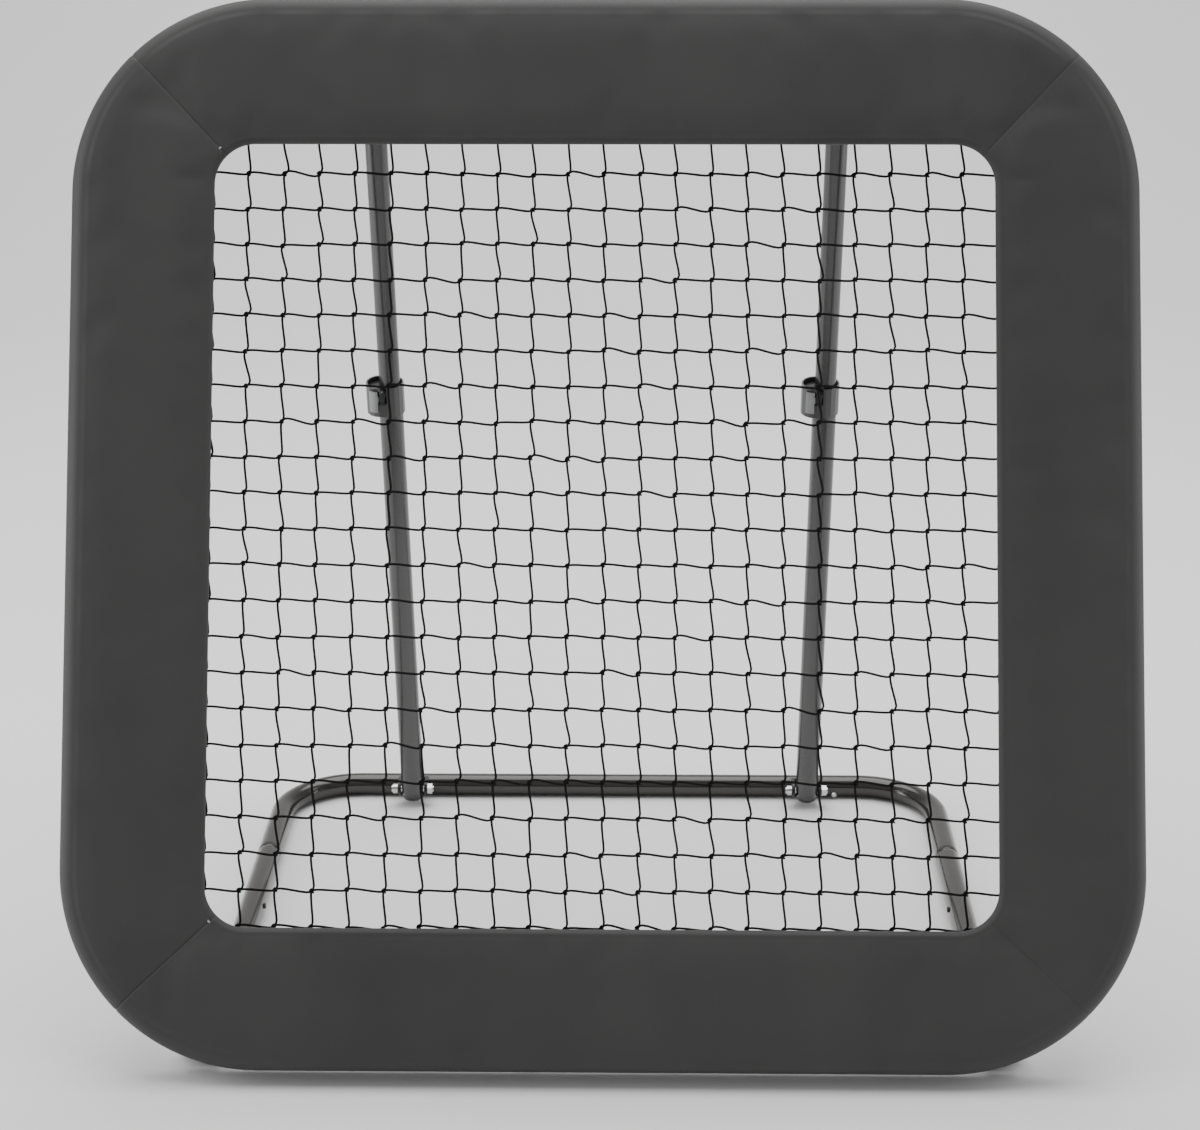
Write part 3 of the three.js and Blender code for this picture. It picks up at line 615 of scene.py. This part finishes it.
def cover_strip(quarter):
    """One strip from seam to seam: its closed section carried along the rounded outline. The
    front rises with the padding, sinks in a groove along the hem's stitching, and rolls down
    into the seams, less so on the right, with small puckers across them."""
    front, back = cover_front(), cover_back()
    section = np.concatenate([front, back[::-1]])
    ease = np.linspace(-1, 1, 231)     # stations crowd together towards the seams
    stations = MITRE * np.sign(ease) * (1 - (1 - np.abs(ease)) ** 1.6)
    s, a = np.meshgrid(stations, section[:, 0], indexing="ij")
    depth = np.broadcast_to(section[:, 1], s.shape).copy()
    seam = np.clip(mitre_distance(a, s), 0.0, None)
    outer = np.broadcast_to(np.arange(len(section)) < len(front), s.shape)
    forward = outer & (depth < 6.0)
    grid_a, grid_s, lift = padding_swell(quarter)
    swell = sampled(grid_a, grid_s, softened(lift, 3), np.clip(a, RIM, HEM_LINE), s)
    groove = 0.45 * np.exp(-((a - HEM_LINE) / 1.3) ** 2)
    fine = np.where(outline(a, s, quarter)[0] > 0, 0.35, 1.0)
    roll = 0.75 * fine * np.exp(-(seam / 1.1) ** 1.4)
    pucker = 0.10 * np.sin(a * 2 * math.pi / 9.5 + quarter)
    pucker = pucker * np.exp(-(seam / 9.0) ** 2) * np.clip(seam / 2.0, 0, 1)
    rise = np.where((a > RIM) & (a < HEM_LINE), swell, 0)
    depth = depth + np.where(forward, groove + roll + pucker - rise, 0)
    pull = np.where(outer & (a < RIM), 0.6 * fine * np.exp(-(seam / 1.3) ** 1.5), 0.0)
    x, v = outline(a + pull, s, quarter)
    v = lowered(v, a)
    lean = np.sign(s) * np.where(seam < 0.1, 0.05, 0.0)     # keeps two strips' ends apart
    c, n = QUARTER_TURNS[quarter]
    points = on_panel(x - lean * c, v - lean * n, depth)
    rows, columns = s.shape
    uv = np.stack(np.broadcast_arrays(s, travelled(section)), -1).reshape(-1, 2)
    faces = [sheet_faces(rows, columns, True)] + caps(rows, columns)
    strip = piece(f"cover_{SIDES[quarter]}", points.reshape(-1, 3), faces, "panel", COVER, uv)
    strip.data.materials.append(LINING)
    column = np.concatenate([np.tile(np.arange(columns), rows - 1), [0, 0]])
    inside = (column >= len(front) - 12).astype(np.int32)
    strip.data.polygons.foreach_set("material_index", inside)
    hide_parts(f"cover_strip_{SIDES[quarter]}", f"foam_pad_{SIDES[quarter]}")
    return strip


def hem_stitches():
    """Lock stitches along the back of the hem: each a short thread that dips at both ends."""
    pitch, reach = 4.6, outline_length(HEM_BACK)
    count = int(reach / pitch)
    centre = (np.arange(count) + 0.5) / count * 2 * MITRE - MITRE
    t = np.linspace(-1, 1, 5)
    s = centre[:, None] + t * 1.75 * MITRE / (reach / 2)
    w = PAD + 0.25 - 0.5 * np.abs(t) ** 3 + np.zeros_like(s)
    points = []
    for quarter in range(4):
        x, v = outline(HEM_BACK, s, quarter)
        points.append(on_panel(x, lowered(v, HEM_BACK), w))
    stitches = chains(np.concatenate(points), STITCH_RADIUS, 5, "cover_hem_stitches", "panel",
                      THREAD)


def gap_light_tacks():
    """A tack of four tight turns across the inner end of each of the left strip's seams, in a pale
    colour that is painted light: it stands for light showing through the gap between the strips
    there.
    """
    inward = STRIP - 8.5
    t = np.linspace(-1, 1, 7)
    points = []
    for up in (-1.0, 1.0):
        x, v = outline(inward, MITRE, 3 if up > 0 else 0)
        x, v = -abs(float(x)), lowered(HALF + up * abs(float(v) - HALF), inward)
        along = np.array([1.0, -up]) / math.sqrt(2.0)
        across = np.array([1.0, up]) / math.sqrt(2.0)
        for turn in range(4):
            place = np.array([x, v]) + along * (turn - 1.5) * 0.45
            line = place + across * t[:, None] * 2.6
            points.append(on_panel(line[:, 0], line[:, 1], 0.2 + 1.1 * t ** 4))
    tack = chains(np.stack(points), TACK_RADIUS, 5, "cover_gap_light_tacks", "panel", GAP_LIGHT_TACK)


def chains(points, radius, sides, name, body, look):
    """Many short cords at once, each a small circle carried along its path with closed ends.
    Points are (cords, points along each, 3)."""
    cords, steps, _ = points.shape
    tangent = np.gradient(points, axis=1)
    tangent /= np.linalg.norm(tangent, axis=2, keepdims=True)
    across = np.cross(tangent, FACING)
    across /= np.maximum(np.linalg.norm(across, axis=2, keepdims=True), 1e-6)
    up = np.cross(across, tangent)
    angle = np.arange(sides) * 2 * math.pi / sides
    radius = np.broadcast_to(radius, points.shape[:2])[..., None, None]
    cosine, sine = np.cos(angle)[:, None], np.sin(angle)[:, None]
    grid = points[:, :, None] + radius * (cosine * across[:, :, None] + sine * up[:, :, None])
    one = sheet_faces(steps, sides, True)[:, ::-1]
    offset = (np.arange(cords) * steps * sides)[:, None, None]
    faces = [(one + offset).reshape(-1, 4)]
    faces += [(cap[:, ::-1] + offset).reshape(-1, sides) for cap in caps(steps, sides)]
    length = np.linalg.norm(np.diff(points, axis=1), axis=2)
    along = np.concatenate([np.zeros((cords, 1)), np.cumsum(length, axis=1)], 1)
    uv = np.stack(np.broadcast_arrays(along[:, :, None], np.arange(sides) / sides), -1)
    return piece(name, grid.reshape(-1, 3), faces, body, look, uv.reshape(-1, 2))


def cover_straps():
    """Flat elastic bands behind the frame tube, from the cover's back edge to the strip's back:
    an eight-cornered flat section carried along one curve in the plane across the strip."""
    places = (("bottom", -67), ("bottom", 67), ("right", 0), ("top", -67), ("top", 67), ("left", 0))
    line = np.concatenate([
        [[6.4, FRAME_DEEP + 13.3]],
        arc(FRAME_IN, FRAME_DEEP, TUBE + 1.3, 100, 45, 8),
        [[45.4, PAD + 2.6], [45.4, PAD + 0.4]]])
    line = smooth_path(rounded(line, 6.0), 2)
    step = np.gradient(line, axis=0)
    step /= np.linalg.norm(step, axis=1, keepdims=True)
    normal = np.stack([-step[:, 1], step[:, 0]], -1)
    beside = np.array([-10, -9.6, 0, 9.6, 10, 9.6, 0, -9.6])
    thick = np.array([0.1, 0.6, 0.75, 0.6, 0.1, -0.4, -0.5, -0.4])
    flat = line[:, None] - normal[:, None] * thick[:, None]
    rows, columns = flat.shape[:2]
    faces = [sheet_faces(rows, columns, True)] + caps(rows, columns)
    for number, (side, offset) in enumerate(places):
        s = np.broadcast_to(offset + beside, flat.shape[:2])
        x, v = outline(flat[..., 0], s, SIDES.index(side))
        points = on_panel(x, v, flat[..., 1])
        uv = np.stack(np.broadcast_arrays(travelled(line)[:, None], s), -1).reshape(-1, 2)
        band = piece(f"cover_elastic_{number + 1}", points.reshape(-1, 3), faces, "panel", STRAP,
                     uv)
        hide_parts(f"cover_strap_{number + 1}")


# ---------------------------------------------------------------------------
# Net
# ---------------------------------------------------------------------------

NET_LINES = np.arange(-12, 13)
ROPE_HALF = HALF - ROPE_IN


def knot_places():
    """The knots' places, in from an even square mesh by a little unevenness in tying."""
    shake = np.random.default_rng(11)
    count = len(NET_LINES)
    x = NET_LINES[None, :] * CELL + shake.normal(0, 0.5, (count, count))
    v = HALF + NET_LINES[:, None] * CELL + shake.normal(0, 0.5, (count, count))
    return x, v


def net_line(knots_along, knots_beside, start, end, sway, front, shape):
    """One twine through a row of knots. Between two knots it leaves on one side, crosses slowly
    and arrives on the other, so that each cell's edge is a shallow S: shape is how far beside the
    straight line it lies at eight places, in millimetres."""
    t = np.array([0.0, 0.06, 0.14, 0.30, 0.5, 0.70, 0.86, 0.95])
    stops = np.concatenate([[start], knots_along, [end]])
    beside = np.concatenate([knots_beside[:1], knots_beside, knots_beside[-1:]])
    along = (stops[:-1, None] + np.diff(stops)[:, None] * t).ravel()
    straight = (beside[:-1, None] + np.diff(beside)[:, None] * t).ravel()
    wave = (sway[:, None] * np.array(shape)).ravel()
    wave[:1] = 0
    depth = front * (np.abs(np.tile(t, len(stops) - 1) - 0.5) * 2) ** 6 * 0.9
    return (np.append(along, end), np.append(straight + wave, beside[-1]),
            FRAME_DEEP + np.append(depth, 0.0))


def net_twines():
    """All the twines: 25 across and 25 up, from rope to rope, each swaying a little differently
    between its knots."""
    x, v = knot_places()
    shake = np.random.default_rng(5)
    lines = []
    cells = len(NET_LINES) + 1
    for n in range(len(NET_LINES)):
        sway = shake.uniform(0.75, 1.35, cells) + (shake.uniform(0, 1, cells) > 0.9) * 1.3
        low, high = rope_reach(NET_LINES[n] * CELL)
        along, beside, w = net_line(x[n], v[n], low, high, sway, -0.75,
                                    (0.0, 0.75, 1.05, 0.75, 0.0, -0.75, -1.1, -0.9))
        lines.append(on_panel(along, beside, w))
    for n in range(len(NET_LINES)):
        sway = shake.uniform(0.75, 1.25, cells) + (shake.uniform(0, 1, cells) > 0.93) * 0.7
        low, high = rope_reach(NET_LINES[n] * CELL)
        along, beside, w = net_line(v[:, n] - HALF, x[:, n], low, high, sway, 0.75,
                                    (0.0, 1.5, 2.1, 1.6, 0.65, -0.2, -0.7, -0.6))
        lines.append(on_panel(beside, along + HALF, w))
    return chains(np.stack(lines), TWINE_RADIUS, 5, "net_twines", "panel", TWINE)


def rope_reach(offset):
    """Where a line at this offset from the net's middle meets the border rope, both ways."""
    radius = CORNER - ROPE_IN * (CORNER - OPENING_CORNER) / STRIP
    beyond = max(abs(offset) - (ROPE_HALF - radius), 0.0)
    reach = ROPE_HALF - radius + math.sqrt(max(radius ** 2 - beyond ** 2, 0.0))
    return -reach, reach


def net_knots():
    """A knot at every crossing: one twine looped round the other, its end cut short below."""
    x, v = knot_places()
    keep = (np.abs(x) < 415) & (np.abs(v - HALF) < 415)
    x, v = x[keep], v[keep]
    shake = np.random.default_rng(3)
    loop = np.array([(-2.1, -0.8, 0.0), (-1.3, 0.9, 1.2), (0.0, 1.9, 0.9), (1.5, 1.1, 0.6),
                     (1.0, -0.4, -0.8), (-0.8, -0.7, -0.4), (0.2, -0.5, 1.2), (1.9, -2.2, 0.7)])
    size = shake.uniform(0.85, 1.05, len(x))[:, None]
    tip = shake.normal(0, 0.14, len(x))[:, None]
    px = (loop[:, 0] * np.cos(tip) - loop[:, 1] * np.sin(tip)) * size
    pv = (loop[:, 0] * np.sin(tip) + loop[:, 1] * np.cos(tip)) * size
    points = on_panel(x[:, None] + px, v[:, None] + pv, FRAME_DEEP - loop[:, 2] * size)
    return chains(points, KNOT_RADIUS, 5, "net_knots", "panel", TWINE)


def rope_hitches():
    """The net's edge: each twine takes a turn round the border rope, a circle about the rope's
    axis that drifts along it."""
    spots = []
    for n in NET_LINES:
        low, high = rope_reach(n * CELL)
        spots += [(n * CELL, low), (n * CELL, high), (low, n * CELL), (high, n * CELL)]
    spots = np.array(spots)
    out = spots / np.linalg.norm(spots, axis=1, keepdims=True)
    largest = np.abs(spots).max(axis=1, keepdims=True)
    square = np.where(np.abs(spots) >= largest - 1e-6, np.sign(spots), 0)
    out = np.where(largest > ROPE_HALF - 0.5, square, out)
    run = np.stack([-out[:, 1], out[:, 0]], -1)
    turn, reach = np.linspace(0, 2 * math.pi, 11), 3.3
    radial = np.cos(turn)[None] * reach
    drift = np.linspace(-0.9, 0.9, 11)[None]
    x = spots[:, :1] + out[:, :1] * radial + run[:, :1] * drift
    v = spots[:, 1:] + out[:, 1:] * radial + run[:, 1:] * drift
    points = on_panel(x, v + HALF, FRAME_DEEP - np.sin(turn)[None] * reach + 0 * x)
    return chains(points, HITCH_RADIUS, 5, "net_edge_hitches", "panel", TWINE)


def border_rope():
    """A round section carried once round the rounded square at the rope's distance inward."""
    distance = np.linspace(0.5, 4 * SIDE_RUN - 0.5, 700)
    path = on_panel(*ring_points(ROPE_IN, FRAME_DEEP, distance))
    rope = carried("net_rope", path, ROPE_RADIUS, 12, "panel", ROPE, FACING)
    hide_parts("net_border_rope")


def lacing():
    """One elastic cord in a zigzag: round the frame tube, across to the border rope, round it,
    and on to the next turn; it leaves room for the brackets."""
    bends = [STRAIGHT + math.radians(angle) * BEND for angle in (5, 31, 59, 85)]
    straight = [33.5, 100.5, 167.5, 268]
    quarter = straight + bends + [SIDE_RUN - s for s in reversed(straight)]
    turns = np.array([s + q * SIDE_RUN for q in range(4) for s in quarter])
    on_tube = arc(FRAME_IN, FRAME_DEEP, 15.6, 270, 90, 6)
    on_rope = arc(ROPE_IN, FRAME_DEEP, 5.4, 90, -90, 4)
    inward, depth, distance = [], [], []
    for n, here in enumerate(turns):
        inward.append(on_tube[:, 0])
        depth.append(on_tube[:, 1])
        distance.append(here + np.linspace(-1.2, 1.2, 7))
        if n < len(turns) - 1:
            inward.append(on_rope[:, 0])
            depth.append(on_rope[:, 1])
            distance.append((here + turns[n + 1]) / 2 + np.linspace(-1, 1, 5))
    path = [np.concatenate(part) for part in (inward, depth, distance)]
    points = on_panel(*ring_points(*path))
    cord = carried("elastic_cord", smooth_path(points, 3), CORD_RADIUS, 8, "panel", ELASTIC)
    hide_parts("elastic_lacing")


# ---------------------------------------------------------------------------
# Tubes
# ---------------------------------------------------------------------------

def tube_ends(length, radius, start_open, end_open):
    """Distances and radii of a tube's skin from the bottom of its bore at one end, out over the
    end, along, and into the bore at the other end. A shut end has no bore."""
    chamfer, deep = 0.5, 34
    bore = radius - WALL
    shut = [(0, 0.01), (0, radius - chamfer), (chamfer, radius)]
    head = [(deep, 0.01), (deep, bore), (chamfer, bore), (0, bore + 0.4), *shut[1:]]
    first = np.array(head if start_open else shut, float)
    last = np.array(head if end_open else shut, float)[::-1].copy()
    last[:, 0] = length - last[:, 0]
    return first, last


def straight_tube(name, place, start, end, radius, body, look, start_open=False):
    """A straight round tube from one distance to another along an axis, open at its far end."""
    first, last = tube_ends(end - start, radius, start_open, True)
    middle = np.stack([np.linspace(8, end - start - 8, 24), np.full(24, radius)], -1)
    profile = np.concatenate([first, middle, last])
    profile[:, 0] += start
    profile = np.concatenate([[[profile[0, 0], 0.0]], profile, [[profile[-1, 0], 0.0]]])
    return turned(name, place, profile, 40, body, look)


def bent_tube(name, path, radius, body, look, plane, sides=40):
    """A round tube bent along a path in one plane, its two ends square and slightly rounded."""
    length = travelled(path)
    ends = np.array([0, 0.2, 0.6])
    taper = np.array([radius - 0.6, radius - 0.2, radius])
    where = np.concatenate([ends, length[1:-1], length[-1] - ends[::-1]])
    radii = np.concatenate([taper, np.full(len(length) - 2, radius), taper[::-1]])
    points = np.stack([np.interp(where, length, path[:, k]) for k in range(3)], -1)
    return carried(name, points, radii, sides, body, look, plane=plane)


def base_tubes():
    """The rear bar with its two bends as one round tube, and the two side tubes: each turned
    about its own axis, with a shoulder inside the bore in front and a square end at the joint."""
    bend, radius = 84.0, 12.25
    corner_x, corner_y = BASE_X - bend, REAR_Y - bend
    rear = np.concatenate([
        np.linspace([-BASE_X, JOINT_Y + 0.3], [-BASE_X, corner_y], 12)[:-1],
        arc(-corner_x, corner_y, bend, 180, 90, 28)[:-1],
        np.linspace([-corner_x, REAR_Y], [corner_x, REAR_Y], 40)[:-1],
        arc(corner_x, corner_y, bend, 90, 0, 28)[:-1],
        np.linspace([BASE_X, corner_y], [BASE_X, JOINT_Y + 0.3], 12)])
    path = on_floor(rear[:, 0], rear[:, 1], FLOOR_TUBE)
    back = bent_tube("base_rear", path, radius, "base", BASE, (0, 0, 1))
    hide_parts("base_rear_tube")
    front = [(30, 0.0), (30, 10.8), (-11, 10.8), (-11.6, 11.2), (-11.6, 11.8), (-11.2, radius)]
    along = [*np.linspace(-4, JOINT_Y - 26, 30), JOINT_Y - 18, JOINT_Y - 3, JOINT_Y - 0.7]
    joint = [(JOINT_Y - 0.3, 12.0), (JOINT_Y - 0.3, 0.0)]
    profile = front + [(distance, radius) for distance in along] + joint
    for side, sign in BOTH:
        def place(x, y, z, sign=sign):
            return on_floor(sign * BASE_X + x, z, FLOOR_TUBE - y)
        tube = turned(f"base_side_{side}", place, profile, 40, "base", BASE)
        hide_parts(f"base_side_tube_{side}")


def frame_tubes():
    """The panel's two U-shaped halves, each a round tube along half of the rounded square."""
    for name, first in (("lower", -1), ("upper", 1)):
        distance = np.linspace(first * SIDE_RUN + 0.2, (first + 2) * SIDE_RUN - 0.2, 300)
        path = on_panel(*ring_points(FRAME_IN, FRAME_DEEP, distance))
        tube = bent_tube(f"frame_{name}", path, 12.6, "panel", FRAME, FACING, sides=32)
        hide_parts(f"frame_tube_{name}")


def leg_tubes():
    """Each leg's two straight tubes, and the foot plug: half a flattened ball turned about the
    leg's axis."""
    angle = np.radians(np.linspace(0, 90, 10))
    dome = np.stack([-6.8 - 6.9 * np.sin(angle), 12.5 * np.cos(angle)], -1)
    dome[-1, 1] = 0.0
    dome = np.concatenate([[[-6.3, 0.0], [-6.3, 12.2]], dome])
    for side, sign in BOTH:
        def place(x, y, z, sign=sign):
            return on_leg(sign, x, y, z)
        lower = straight_tube(f"lower_leg_{side}", place, -6, 514, 12.5, f"lower_leg_{side}", LEG)
        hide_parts(f"lower_leg_tube_{side}")
        upper = straight_tube(f"upper_leg_{side}", place, 350, LEG_LENGTH + 9, UPPER_TUBE - 0.1,
                              f"upper_leg_{side}", LEG, start_open=True)
        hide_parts(f"upper_leg_tube_{side}")
        foot = turned(f"foot_plug_{side}", place, dome[::-1], 40, f"lower_leg_{side}", LEG)
        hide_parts(f"leg_foot_plug_{side}")


# ---------------------------------------------------------------------------
# Small parts that keep their solids: a fine bevel and a finished material
# ---------------------------------------------------------------------------

def finish_solid(node, look, width):
    """Gives a solid its finish, and its edges a bevel of this many millimetres."""
    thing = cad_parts[node]
    thing.data.materials.clear()
    thing.data.materials.append(look)
    bevel = thing.modifiers.new("edge", "BEVEL")
    bevel.width = width * 0.001
    bevel.segments = 2
    bevel.limit_method = "ANGLE"
    bevel.angle_limit = math.radians(32.0)


def small_parts():
    """Every kind of small part, with its finish and bevel, on both sides; and the one rivet."""
    kinds = (
        (BRACKET, 0.5, ("hinge_bracket", "leg_bracket", "rear_bracket")),
        (STEEL, 0.35, ("leg_foot_bolt", "leg_foot_nut", "hinge_bolt", "hinge_nut",
                       "leg_head_bolt", "leg_head_nut", "lever_pin")),
        (PLASTIC, 0.3, ("leg_head_plug", "clamp_insert", "base_button")),
        (COLLAR, 0.4, ("clamp_collar",)))
    for side, _ in BOTH:
        for look, width, nodes in kinds:
            for node in nodes:
                finish_solid(f"{node}_{side}", look, width)
        finish_solid(f"clamp_lever_{side}", LEVER[side], 0.5)
    finish_solid("rear_bar_rivet", STEEL, 0.2)


# ---------------------------------------------------------------------------
# Floor, light and camera
# ---------------------------------------------------------------------------

def floor_look(place, uv):
    """Pale matt paper with the faintest grain."""
    grain = place.noise(3.0, 3.0, 0.5)
    return {"Base Color": grain.mix(grey(0.80), grey(0.82)), "Roughness": 0.75 + grain * 0.1,
            "height": place.noise(200.0, 2.0) * 0.02}


def floor():
    """A flat floor that rises in a quarter of an ellipse behind the object to an upright back."""
    t = np.linspace(0, 1, 24)[1:] * math.pi / 2
    rise = 1800
    depth = np.concatenate([[-30000, 2600], 2600 + rise * np.sin(t), [4400]])
    height = np.concatenate([[0, 0], rise - rise * np.cos(t), [7000]])
    x = np.array([-20000.0, 20000.0])
    points = np.stack(np.broadcast_arrays(x[None], depth[:, None], height[:, None]), -1)
    look = material("floor_paper", 0.8, floor_look, Specular_IOR_Level=0.2)
    piece("studio_floor", points.reshape(-1, 3), [sheet_faces(len(depth), 2)], None, look)


def placed(thing, right, up, back, place):
    """Stands a light or camera at a place, given its three directions."""
    matrix = np.eye(4)
    matrix[:3] = np.stack([right, up, back, place], -1)
    thing.matrix_world = Matrix(matrix.tolist())


def lights():
    """An even white surround, a large soft light overhead and a tall one on either side, given
    by name, place, aim, width, height and power."""
    world = bpy.data.worlds.new("studio")
    bpy.context.scene.world = world
    world.use_nodes = True
    world.node_tree.nodes["Background"].inputs[0].default_value = (1.0, 1.0, 1.0, 1.0)
    world.node_tree.nodes["Background"].inputs[1].default_value = 0.48
    for name, place, aim, width, height, power in (
            ("top", (0.0, 0.9, 3.4), (0, 0.6, 0), 4.0, 4.0, 175.0),
            ("left", (-2.5, -0.2, 0.9), (0, 0.1, 0.5), 1.0, 2.4, 42.0),
            ("right", (2.5, 0.1, 0.9), (0, 0.1, 0.5), 0.8, 2.4, 26.0)):
        data = bpy.data.lights.new(name, "AREA")
        data.shape = "RECTANGLE"
        data.size = width
        data.size_y = height
        data.energy = power
        lamp = bpy.data.objects.new(name, data)
        bpy.context.collection.objects.link(lamp)
        back = np.array(place) - np.array(aim, float)
        back /= np.linalg.norm(back)
        right = np.cross([0, 0, 1.0], back)
        right /= np.linalg.norm(right)
        placed(lamp, right, np.cross(back, right), back, place)


def camera():
    """The camera, turned by its yaw about the upright, then its pitch down, then its roll."""
    lens = bpy.data.cameras.new("camera")
    lens.lens = 78.802
    lens.sensor_width = 36.0
    lens.clip_end = 60.0
    thing = bpy.data.objects.new("camera", lens)
    bpy.context.collection.objects.link(thing)
    pitch, yaw, roll = np.radians([18.531, -0.996, -0.118])
    level = math.cos(pitch)
    forward = np.array([math.sin(yaw) * level, math.cos(yaw) * level, -math.sin(pitch)])
    flat = np.array([math.cos(yaw), -math.sin(yaw), 0.0])
    steep = np.cross(flat, forward)
    right = math.cos(roll) * flat + math.sin(roll) * steep
    up = math.cos(roll) * steep - math.sin(roll) * flat
    placed(thing, right, up, -forward, (0.03781, -2.18457 + HINGE_BACK * 0.001, 1.21744))
    bpy.context.scene.camera = thing


for quarter in range(4):
    cover_strip(quarter)
hem_stitches()
gap_light_tacks()
cover_straps()
twines = net_twines()
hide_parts("net")
net_knots()
rope_hitches()
border_rope()
lacing()
base_tubes()
frame_tubes()
leg_tubes()
small_parts()
floor()
lights()
camera()
